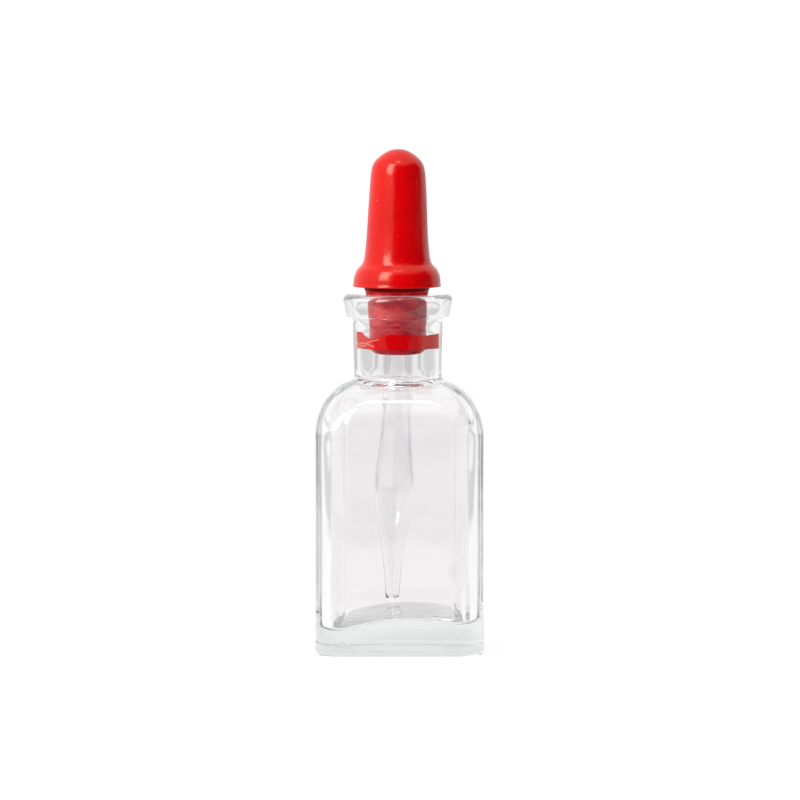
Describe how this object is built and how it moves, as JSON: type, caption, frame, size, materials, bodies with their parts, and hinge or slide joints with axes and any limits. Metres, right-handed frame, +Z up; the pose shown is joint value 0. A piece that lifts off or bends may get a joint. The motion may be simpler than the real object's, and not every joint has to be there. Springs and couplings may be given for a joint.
{
  "type": "ink bottle",
  "caption": "Square clear glass dropping bottle with a round beaded neck, closed by a red rubber bulb stopper that carries a glass dropper.",
  "frame": {"origin": "centre of the base, on the plane the bottle stands on", "axes": "+Z up through the neck and the bulb; the body's flat faces look along X and Y"},
  "size_m": [0.0356, 0.0356, 0.1058],
  "materials": {
    "bottle_glass": "clear moulded glass, polished",
    "pipette_glass": "clear drawn glass tube",
    "red_rubber": "moulded natural rubber, satin, lightly dusted with bloom"
  },
  "bodies": {
    "bottle": {"glass_bottle": "bottle_glass"},
    "pipette": {"glass_pipette": "pipette_glass"},
    "stopper": {"rubber_stopper": "red_rubber"},
    "bulb": {"rubber_bulb": "red_rubber"}
  },
  "joints": [
    {"name": "dropper_lift", "type": "slide", "parent": "bottle", "child": "pipette", "axis": [0, 0, 1], "range_m": [0, 0.075]},
    {"name": "stopper_twist", "type": "hinge", "parent": "pipette", "child": "stopper", "pos_m": [0, 0, 0.07], "axis": [0, 0, 1], "continuous": true},
    {"name": "bulb_squeeze", "type": "slide", "parent": "stopper", "child": "bulb", "axis": [0, 1, 0], "range_m": [0, 0.003], "stiffness_N_per_m": 400, "deforming": ["rubber_bulb"]}
  ]
}
